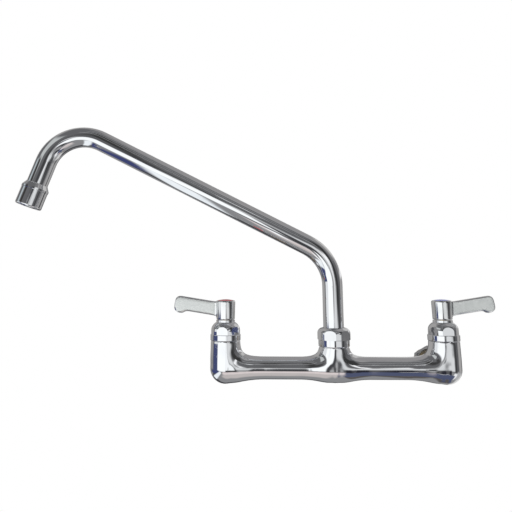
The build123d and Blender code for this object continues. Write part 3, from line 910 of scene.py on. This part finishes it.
@dataclass
class WallInlet:
    """One threaded inlet with its gasket, washer and locknut. Sizes in millimetres."""

    side: Side
    axis_x: float = VALVE_X
    crest_radius: float = 10.48
    root_radius: float = 9.45
    bore_radius: float = 7.5
    pitch: float = 1.814
    flat_share: float = 0.125
    front: float = -16.0
    end: float = 32.0
    thread_from: float = -3.0
    end_chamfer: float = 1.2
    steps: int = 48
    spare_turns: int = 2
    weld: float = 1e-4
    cut_reach: float = 1e-5
    sharp_angle: float = 25.0

    def dress(self) -> None:
        """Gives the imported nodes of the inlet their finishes."""
        for part, finish in (("inlet_shank", INLET_BRASS), ("wall_gasket", RUBBER),
                             ("mounting_washer", PLAIN_STEEL), ("locknut", NUT_PLATE)):
            dress(f"{self.side.value}_{part}", finish)

    def wind_thread(self, mesh: bmesh.types.BMesh) -> None:
        """Winds the thread's ridge, a little longer than the thread at both ends.

        Args:
            mesh: an empty mesh.
        """
        flat, middle = self.pitch * self.flat_share, self.pitch / 2
        ridge = [(self.root_radius, 0.0), (self.root_radius, flat),
                 (self.crest_radius, middle - flat / 2), (self.crest_radius, middle + flat / 2),
                 (self.root_radius, self.pitch)]
        corners = [mesh.verts.new((radius, depth, 0.0)) for radius, depth in ridge]
        edges = [mesh.edges.new(pair) for pair in zip(corners, corners[1:])]
        turns = math.ceil((self.end - self.thread_from) / self.pitch) + self.spare_turns
        bmesh.ops.spin(mesh, geom=corners + edges, cent=(0, 0, 0), axis=(0, 1, 0),
                       dvec=(0, self.pitch / self.steps, 0), angle=math.tau * turns,
                       steps=self.steps * turns)
        bmesh.ops.translate(mesh, verts=mesh.verts, vec=(0, self.thread_from - self.pitch, 0))
        bmesh.ops.remove_doubles(mesh, verts=mesh.verts, dist=self.weld)

    def trim_thread(self, mesh: bmesh.types.BMesh) -> list[list[bmesh.types.BMEdge]]:
        """Cuts the thread to length and turns down its end.

        Args:
            mesh: the wound thread.

        Returns:
            The edges of its two open ends, the front one first.
        """
        rims = []
        for depth, way in ((self.thread_from, -1), (self.end, 1)):
            whole = mesh.verts[:] + mesh.edges[:] + mesh.faces[:]
            cut = bmesh.ops.bisect_plane(mesh, geom=whole, dist=self.cut_reach,
                                         plane_co=(0, depth, 0), plane_no=(0, way, 0),
                                         clear_outer=True)["geom_cut"]
            rims.append([item for item in cut if isinstance(item, bmesh.types.BMEdge)])
        for corner in mesh.verts:
            limit = self.crest_radius - max(0.0, corner.co.y - (self.end - self.end_chamfer))
            radius = math.hypot(corner.co.x, corner.co.z)
            if radius > limit:
                corner.co.x *= limit / radius
                corner.co.z *= limit / radius
        return rims

    def line_bore(self, mesh: bmesh.types.BMesh, rims: list[list[bmesh.types.BMEdge]]) -> None:
        """Closes the thread with its bore, its end face and the plain length in the casting.

        Args:
            mesh: the thread, open at both ends.
            rims: the edges of its two open ends, the front one first.
        """
        turn = Matrix.Rotation(math.pi / 2, 4, "X")
        loops = [rims[0]]
        for depth, radius in ((self.thread_from, self.root_radius),
                              (self.front, self.root_radius), (self.front, self.bore_radius),
                              (self.end, self.bore_radius)):
            circle = bmesh.ops.create_circle(mesh, segments=self.steps, radius=radius,
                                             matrix=turn)["verts"]
            bmesh.ops.translate(mesh, verts=circle, vec=(0, depth, 0))
            loops.append(list({edge for corner in circle for edge in corner.link_edges}))
        loops.append(rims[1])
        for first, second in zip(loops, loops[1:]):
            bmesh.ops.bridge_loops(mesh, edges=first + second)

    def build(self) -> None:
        """Builds the shank with its screw thread, in place of the plain packed one."""
        mesh = bmesh.new()
        self.wind_thread(mesh)
        self.line_bore(mesh, self.trim_thread(mesh))
        bmesh.ops.scale(mesh, verts=mesh.verts, vec=(MM, MM, MM))
        across = self.side.sign * self.axis_x * MM
        bmesh.ops.translate(mesh, verts=mesh.verts, vec=(across, 0, 0))
        piece = make_piece(f"{self.side.value}_threaded_shank", mesh, INLET_BRASS, "faucet",
                           self.sharp_angle)
        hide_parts(f"{self.side.value}_inlet_shank")


@dataclass
class ValveTop:
    """One valve: bonnet, cartridge, lever and index button. Sizes in millimetres."""

    side: Side
    axis_x: float = VALVE_X
    hub_radius: float = HUB_RADIUS
    bare_neck: float = 0.5
    blade_ease: float = 4.0
    voxel: float = 0.42
    edge_steps: int = 110
    skin_share: float = 0.06

    def dress(self) -> None:
        """Gives the valve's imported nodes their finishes."""
        index = RED_GLOSS if self.side is Side.HOT else BLUE_GLOSS
        finishes = {"bonnet": TURNED_CHROME, "lever": LEVER_PLATE, "index_button": index,
                    "lever_screw": PLAIN_STEEL, "stem": VALVE_BRASS,
                    "cartridge_housing": VALVE_BRASS, "stem_seal": RUBBER, "seat_seal": RUBBER,
                    "fixed_disc": CERAMIC, "moving_disc": CERAMIC}
        for part, finish in finishes.items():
            dress(f"{self.side.value}_{part}", finish)

    def soften(self, spots: Array, normals: Array) -> tuple[Array, Array]:
        """Rounds the blade's edges as a polishing belt does, and nearly spares the hub.

        Args:
            spots: places on the lever, in millimetres.
            normals: its directions there, which don't matter.

        Returns:
            The same places, and the share of smoothing at each.
        """
        outward = np.abs(spots[:, 0]) - self.axis_x - self.hub_radius
        share = eased(np.clip((outward - self.bare_neck) / self.blade_ease, 0.0, 1.0))
        return spots, np.round(self.skin_share + (1.0 - self.skin_share) * share, 2)

    def build(self) -> None:
        """Builds the lever with belt-rounded edges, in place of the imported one."""
        side = self.side.value
        Recast(f"{side}_lever", f"{side}_polished_lever", self.voxel, self.edge_steps,
               LEVER_PLATE, f"{side}_handle", "lever_metal").build(self.soften)


@dataclass
class Spout:
    """The swinging spout with its nut and outlet. Sizes in millimetres and degrees."""

    standoff: float = STANDOFF
    swing: float = 6.0
    riser_height: float = 102.45
    arm_angle: float = 26.5
    arm_length: float = 289.0
    tip_angle: float = 71.5
    tip_length: float = 87.3
    tube_radius: float = 9.525
    outlet_length: float = 22.7
    braze_radius: float = 0.42
    braze_offset: float = 0.1
    braze_segments: int = 16
    braze_steps: int = 72
    sharp_angle: float = 60.0

    def dress(self) -> None:
        """Gives the spout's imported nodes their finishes."""
        finishes = {"spout_tube": TUBE_CHROME, "spout_nut": TURNED_CHROME,
                    "outlet_fitting": TURNED_CHROME, "aerator_shell": TURNED_CHROME,
                    "aerator_screen": PLAIN_STEEL, "aerator_washer": RUBBER,
                    "spout_ferrule": VALVE_BRASS, "spout_seals": RUBBER,
                    "spout_glide_ring": ACETAL}
        for node, finish in finishes.items():
            dress(node, finish)

    def place(self, outward: float, height: float) -> Vector:
        """Gives a place in the spout's plane.

        Args:
            outward: millimetres away from the swivel's axis.
            height: millimetres above the body's arms.

        Returns:
            The place, in metres.
        """
        turn = math.radians(180.0 + self.swing)
        depth = outward * math.sin(turn) - self.standoff
        return Vector((outward * math.cos(turn), depth, height)) * MM

    def outlet_matrix(self) -> Matrix:
        """Works out where the outlet's face is.

        Returns:
            The frame in the outlet's face, with local Z up the tube.
        """
        rise, fall = math.radians(self.arm_angle), math.radians(-self.tip_angle)
        outward = self.arm_length * math.cos(rise) + self.tip_length * math.cos(fall)
        height = (self.riser_height + self.arm_length * math.sin(rise)
                  + self.tip_length * math.sin(fall))
        face = self.place(outward, height)
        back = self.place(outward - math.cos(fall), height - math.sin(fall))
        turn = (back - face).to_track_quat("Z", "Y").to_matrix().to_4x4()
        return Matrix.Translation(face) @ turn

    def build(self) -> None:
        """Builds the thin braze fillet where the tube enters the outlet fitting."""
        mesh = bmesh.new()
        ring = bmesh.ops.create_circle(mesh, segments=self.braze_segments,
                                       radius=self.braze_radius,
                                       matrix=Matrix.Rotation(math.pi / 2, 4, "X"))["verts"]
        bmesh.ops.translate(mesh, verts=ring,
                            vec=(self.tube_radius + self.braze_offset, 0, self.outlet_length))
        bmesh.ops.spin(mesh, geom=mesh.verts[:] + mesh.edges[:], cent=(0, 0, 0), axis=(0, 0, 1),
                       angle=math.tau, steps=self.braze_steps, use_merge=True)
        bmesh.ops.transform(mesh, verts=mesh.verts,
                            matrix=self.outlet_matrix() @ Matrix.Scale(MM, 4))
        make_piece("outlet_braze", mesh, TURNED_CHROME, "spout", self.sharp_angle)


# ---------------------------------------------------------------- studio
def grey(level: float) -> Colour:
    """Gives a plain grey."""
    return level, level, level


@dataclass(frozen=True)
class Card:
    """A panel that metal reflects. Angles in degrees, its reach in metres, 0 for far off."""

    name: str
    azimuth: float
    elevation: float
    half_width: float
    half_height: float
    colour: Colour
    softness: float = 4.0
    tilt: float = 0.0
    reach: float = 0.0
    widest: float = 80.0
    least_level: float = 1e-6

    def axes(self) -> tuple[Vector, Vector, Vector]:
        """Works out how the card is turned.

        Returns:
            The directions along its width, towards it, and along its height.
        """
        basis = (Matrix.Rotation(math.radians(self.azimuth), 3, "Z")
                 @ Matrix.Rotation(-math.radians(self.elevation), 3, "X")
                 @ Matrix.Rotation(math.radians(self.tilt), 3, "Y"))
        return basis @ Vector((1, 0, 0)), basis @ Vector((0, -1, 0)), basis @ Vector((0, 0, 1))

    def mask(self, writer: NodeWriter, way: Socket) -> Socket:
        """Works out how much of the card a direction from the object's middle sees.

        Args:
            writer: the node writer.
            way: the direction.

        Returns:
            A mask, 1 on the card.
        """
        across, forward, over = (writer.vector("DOT_PRODUCT", way, axis).outputs["Value"]
                                 for axis in self.axes())
        swing = writer.math("ABSOLUTE", writer.math("ARCTAN2", across, forward))
        level = forward
        if not self.reach:
            square = writer.math("SUBTRACT", 1.0, writer.math("MULTIPLY", over, over))
            level = writer.math("SQRT", writer.math("MAXIMUM", square, self.least_level))
        climb = writer.math("ABSOLUTE", writer.math("ARCTAN2", over, level))
        soft = math.radians(self.softness)
        masks = [writer.spread(angle, math.radians(half) + soft, math.radians(half) - soft,
                               smooth=True)
                 for angle, half in ((swing, self.half_width), (climb, self.half_height))]
        return writer.math("MULTIPLY", *masks)

    def panel(self, middle: Vector) -> bmesh.types.BMesh:
        """Makes the card's flat mesh, large enough for its soft edges.

        Args:
            middle: the place that it faces.

        Returns:
            The mesh, in place.
        """
        right, ahead, up = self.axes()
        mesh = bmesh.new()
        bmesh.ops.create_grid(mesh, x_segments=1, y_segments=1, size=self.reach)
        halves = [math.tan(math.radians(min(half + self.softness, self.widest)))
                  for half in (self.half_width, self.half_height)]
        bmesh.ops.scale(mesh, verts=mesh.verts, vec=(*halves, 1.0))
        stand = Matrix((right, up, -ahead)).transposed().to_4x4()
        bmesh.ops.transform(mesh, verts=mesh.verts,
                            matrix=Matrix.Translation(middle + ahead * self.reach) @ stand)
        return mesh


@dataclass(frozen=True)
class Lamp:
    """A square soft lamp. Its place and size in metres, its power in watts."""

    name: str
    place: Place
    size: float
    power: float


@dataclass
class Studio:
    """White backdrop, cards that only metal sees, soft lamps, a pale floor and the camera."""

    room: Colour = (0.12, 0.12, 0.125)
    room_light: float = 0.62
    walls: tuple[Card, ...] = (
        Card("ceiling", 0.0, 92.0, 80.0, 80.0, (0.15, 0.15, 0.155), 8.0),
        Card("strip behind", 180.0, 62.0, 60.0, 3.0, (0.50, 0.49, 0.48), 2.0),
        Card("ground", -2.0, -94.0, 67.0, 60.0, (0.30, 0.30, 0.305), 6.0),
        Card("left wall", -136.0, 25.0, 33.0, 34.0, (0.42, 0.41, 0.40), 8.0, -2.0),
        Card("right wall", 128.0, -5.0, 39.0, 15.0, (0.44, 0.43, 0.42), 6.0, 8.0),
        Card("right wall top", 138.0, 43.0, 39.0, 43.0, (0.34, 0.33, 0.33), 8.0, -4.0),
    )
    cards: tuple[Card, ...] = (
        Card("pale band", 21.0, -5.3, 27.5, 6.4, (0.82, 0.83, 0.83), 4.0, 8.4, 3.900),
        Card("black over front", -7.0, 39.7, 5.5, 22.0, grey(0.05), 4.0, 10.0, 1.600),
        Card("strip over left", -62.5, 36.0, 23.8, 9.0, (0.60, 0.62, 0.61), 3.0, 13.0, 1.070),
        Card("black right slot", 64.0, -7.5, 3.5, 10.0, grey(0.04), 3.0, 0.0, 1.120),
        Card("black right", 49.0, 18.2, 11.5, 22.7, grey(0.045), 4.0, 5.0, 1.150),
        Card("sweep right", 137.8, 31.0, 22.0, 11.0, (0.62, 0.61, 0.595), 3.0, 30.0, 1.100),
        Card("streak right", 31.0, 11.5, 16.0, 3.2, grey(1.2), 3.0, -33.0, 1.150),
        Card("grey upper left", -86.0, 26.0, 22.5, 17.3, (0.15, 0.15, 0.155), 6.0, 12.0, 1.050),
        Card("grey low right", 98.3, -31.2, 23.0, 14.5, grey(0.52), 5.0, 1.0, 1.060),
        Card("white far right", 135.5, -31.2, 17.5, 13.8, (0.78, 0.77, 0.75), 4.0, -2.0, 0.970),
        Card("strip far right", 136.8, 11.0, 27.5, 2.8, (1.05, 1.04, 1.04), 2.0, 0.0, 0.945),
        Card("first thin strip", 20.0, 34.4, 36.0, 1.1, grey(0.52), 0.8, 31.0, 1.300),
        Card("second thin strip", 34.2, 48.0, 36.0, 1.1, grey(0.48), 0.8, 41.0, 1.320),
        Card("third thin strip", 64.3, 60.3, 38.0, 1.5, grey(0.46), 0.8, 63.0, 1.300),
        Card("navy", -76.5, -15.5, 22.5, 10.3, (0.068, 0.084, 0.19), 0.8, 0.0, 0.850),
        Card("white low right", 64.3, -39.2, 11.0, 15.3, grey(1.05), 4.0, 0.5, 0.840),
        Card("behind low", 194.0, -42.0, 70.0, 15.0, (0.065, 0.065, 0.07), 5.0, 10.5, 0.790),
        Card("black over left", -11.0, 16.0, 11.0, 5.5, grey(0.06), 3.0, 32.0, 0.680),
        Card("pale blue low", -78.0, -39.6, 34.5, 8.3, (1.05, 1.09, 1.11), 3.0, -13.0, 0.545),
        Card("navy low", -88.4, -24.5, 25.3, 5.4, (0.058, 0.07, 0.19), 3.0, 11.5, 0.545),
        Card("black sweep", 31.2, -31.1, 6.8, 17.4, (0.028, 0.028, 0.038), 3.0, -11.0, 0.540),
        Card("low white", 11.8, -22.8, 4.0, 5.7, grey(0.45), 3.0, 3.0, 0.450),
        Card("window side", -76.0, 4.0, 16.0, 11.0, (0.90, 0.92, 0.93), 1.5, 0.0, 0.900),
        Card("dark post", 1.5, -18.0, 7.5, 12.0, (0.07, 0.07, 0.075), 2.5, -3.9, 0.800),
        Card("grey post top", 3.0, 0.5, 7.0, 3.5, grey(0.36), 2.5, 0.0, 0.790),
        Card("black under band", -4.0, -27.0, 16.0, 4.0, (0.025, 0.025, 0.028), 2.0, 0.0, 0.700),
        Card("glint over", 15.5, 34.0, 5.0, 1.4, (1.0, 1.02, 1.03), 1.0, 0.0, 0.800),
        Card("white before left", -26.1, -21.5, 5.5, 10.0, (1.12, 1.14, 1.14), 2.0, 5.0, 0.139),
        Card("glint under right", 51.7, -33.5, 5.5, 0.8, grey(0.55), 0.8, -1.0, 0.205),
        Card("window", -32.0, -7.3, 28.6, 15.0, (1.22, 1.24, 1.24), 3.0, 10.0, 0.577),
        Card("navy under right", 44.0, -48.5, 21.5, 13.5, (0.092, 0.108, 0.185), 3.0, 0.5, 0.385),
        Card("navy far under right", 86.0, -56.5, 15.0, 4.0, (0.08, 0.095, 0.165), 2.0, 0.0,
             0.380),
        Card("brown under right", 69.5, -64.0, 30.5, 3.5, (0.11, 0.10, 0.095), 2.0, 5.0, 0.400),
        Card("table edge", -6.0, -41.0, 24.0, 8.0, (0.84, 0.75, 0.73), 4.0, 8.0, 0.290),
        Card("warm table", -10.2, -58.0, 19.0, 18.0, (0.62, 0.57, 0.55), 7.0, 40.0, 0.300),
        Card("tip post", -69.5, 23.0, 3.4, 6.0, (0.05, 0.047, 0.046), 1.2, 0.0, 0.410),
        Card("tip glint", -80.0, 23.0, 3.0, 6.0, (0.52, 0.58, 0.60), 1.0, 0.0, 0.405),
        Card("tip shade", -30.0, 18.0, 3.0, 5.0, (0.075, 0.075, 0.085), 1.5, 0.0, 0.410),
    )
    middle: Place = (-0.03, -0.03, 0.05)
    lamps: tuple[Lamp, ...] = (Lamp("key", (-0.45, -0.55, 0.85), 0.7, 5.0),
                               Lamp("fill", (0.70, -0.35, 0.45), 0.6, 1.6))
    lamp_aim: Place = (-0.05, -0.03, 0.05)
    floor_middle: Place = (-0.06, -0.06, -0.32)
    floor_radius: float = 0.44
    floor_segments: int = 96
    floor_fade: tuple[float, float] = (0.22, 0.42)
    floor_colour: Colour = (0.93, 0.92, 0.91)
    floor_patches: Colour = (0.91, 0.90, 0.89)
    floor_patch_scale: float = 14.0
    floor_patch_range: tuple[float, float, float, float] = (0.3, 0.7, 0.0, 0.3)
    floor_roughness: float = 0.7
    floor_glow: float = 0.45
    sensor: float = 36.0
    lens: float = 34.744
    shift: tuple[float, float] = (0.030273, -0.088867)
    clip: tuple[float, float] = (0.02, 20.0)
    position: Place = (-0.072738, -0.50801, 0.074781)
    turn: tuple[float, float, float] = (1.757, 8.764, -0.056)

    def build_camera(self) -> None:
        """Sets the camera where the photograph was taken from."""
        data = bpy.data.cameras.new("camera")
        data.sensor_width, data.lens = self.sensor, self.lens
        data.shift_x, data.shift_y = self.shift
        data.clip_start, data.clip_end = self.clip
        item = enter("camera", data)
        yaw, pitch, roll = (math.radians(angle) for angle in self.turn)
        item.matrix_world = (Matrix.Translation(self.position) @ Matrix.Rotation(yaw, 4, "Z")
                             @ Matrix.Rotation(math.pi / 2 + pitch, 4, "X")
                             @ Matrix.Rotation(roll, 4, "Z"))
        bpy.context.scene.camera = item
        LOG.info("set the camera")

    def build_world(self) -> None:
        """Makes the white surroundings; what shines sees the walls in front of them."""
        world = bpy.data.worlds.new("studio")
        world.use_nodes = True
        bpy.context.scene.world = world
        writer = NodeWriter(world.node_tree)
        way = writer.add("ShaderNodeTexCoord").outputs["Generated"]
        colour: Socket | Colour = self.room
        for wall in self.walls:
            colour = writer.blend(wall.mask(writer, way), colour, wall.colour)
        path = writer.add("ShaderNodeLightPath").outputs
        seen = writer.math("MAXIMUM", path["Is Camera Ray"], path["Is Transmission Ray"])
        level = writer.between(seen, self.room_light, 1.0)
        plain = writer.add("ShaderNodeBackground",
                           {"Color": (1.0, 1.0, 1.0, 1.0), "Strength": level})
        walls = writer.add("ShaderNodeBackground", {"Color": colour, "Strength": 1.0})
        shader = writer.mix_shader(path["Is Glossy Ray"], plain, walls)
        writer.add("ShaderNodeOutputWorld", {"Surface": shader.outputs[0]})
        LOG.info("built the world with %d walls", len(self.walls))

    def stand(self, name: str, mesh: bmesh.types.BMesh) -> tuple[bpy.types.Object, NodeWriter]:
        """Puts a piece of the studio in the scene, with a blank material.

        Args:
            name: its name.
            mesh: its mesh, in place; it is freed.

        Returns:
            The object, and its material's node writer.
        """
        data = poured(name, mesh)
        paint = bpy.data.materials.new(f"{name}_paint")
        paint.use_nodes = True
        data.materials.append(paint)
        return enter(name, data), NodeWriter(paint.node_tree)

    def hang_card(self, card: Card) -> None:
        """Hangs a soft-edged card that only metal sees.

        Args:
            card: the card.
        """
        item, writer = self.stand(card.name.replace(" ", "_"), card.panel(Vector(self.middle)))
        item.active_material.cycles.emission_sampling = "NONE"
        spot = writer.add("ShaderNodeTexCoord").outputs["Object"]
        way = writer.vector("SUBTRACT", spot, self.middle).outputs[0]
        clear = writer.add("ShaderNodeBsdfTransparent")
        glow = writer.glow(card.colour)
        shader = writer.mix_shader(card.mask(writer, way), clear, glow)
        writer.add("ShaderNodeOutputMaterial", {"Surface": shader.outputs[0]})
        item.visible_camera = item.visible_diffuse = item.visible_transmission = False
        item.visible_volume_scatter = item.visible_shadow = False
        LOG.info("hung the card %s", card.name)

    def hang_lamp(self, lamp: Lamp) -> None:
        """Hangs a soft lamp that metal doesn't see.

        Args:
            lamp: the lamp.
        """
        light = bpy.data.lights.new(lamp.name, "AREA")
        light.size, light.energy = lamp.size, lamp.power
        item = enter(lamp.name, light)
        item.location = lamp.place
        way = Vector(self.lamp_aim) - Vector(lamp.place)
        item.rotation_euler = way.to_track_quat("-Z", "Y").to_euler()
        item.visible_glossy = False
        LOG.info("hung the lamp %s", lamp.name)

    def build_floor(self) -> None:
        """Lays a plain pale floor that fades into the white surroundings."""
        mesh = bmesh.new()
        bmesh.ops.create_circle(mesh, cap_ends=True, segments=self.floor_segments,
                                radius=self.floor_radius)
        bmesh.ops.translate(mesh, verts=mesh.verts, vec=self.floor_middle)
        item, writer = self.stand("floor", mesh)
        spot = writer.add("ShaderNodeTexCoord").outputs["Object"]
        grain = writer.noise(spot, self.floor_patch_scale, 3.0).outputs[0]
        patches = writer.spread(grain, *self.floor_patch_range)
        colour = writer.blend(patches, self.floor_colour, self.floor_patches)
        matt = writer.add("ShaderNodeBsdfPrincipled",
                          {"Base Color": colour, "Roughness": self.floor_roughness})
        glow = writer.glow(grey(1.0))
        seen = writer.add("ShaderNodeLightPath").outputs["Is Camera Ray"]
        pale = writer.mix_shader(writer.math("MULTIPLY", seen, self.floor_glow), matt, glow)
        clear = writer.add("ShaderNodeBsdfTransparent")
        away = writer.vector("DISTANCE", spot, self.floor_middle).outputs["Value"]
        fade = writer.spread(away, *self.floor_fade, smooth=True)
        shader = writer.mix_shader(fade, pale, clear)
        writer.add("ShaderNodeOutputMaterial", {"Surface": shader.outputs[0]})
        item.visible_glossy = False
        LOG.info("laid the floor")

    def build(self) -> None:
        """Builds the whole studio."""
        self.build_camera()
        self.build_world()
        for card in self.cards:
            self.hang_card(card)
        for lamp in self.lamps:
            self.hang_lamp(lamp)
        self.build_floor()
        bpy.context.scene.view_settings.view_transform = "Standard"


def main() -> None:
    """Builds and dresses every sub-assembly, then the studio."""
    logging.basicConfig(level=logging.INFO, format="%(name)s: %(message)s")
    casting = CastBody()
    casting.dress()
    casting.build()
    for side in Side:
        inlet = WallInlet(side)
        inlet.dress()
        inlet.build()
        valve = ValveTop(side)
        valve.dress()
        valve.build()
    spout = Spout()
    spout.dress()
    spout.build()
    Studio().build()


if __name__ == "__main__":
    main()
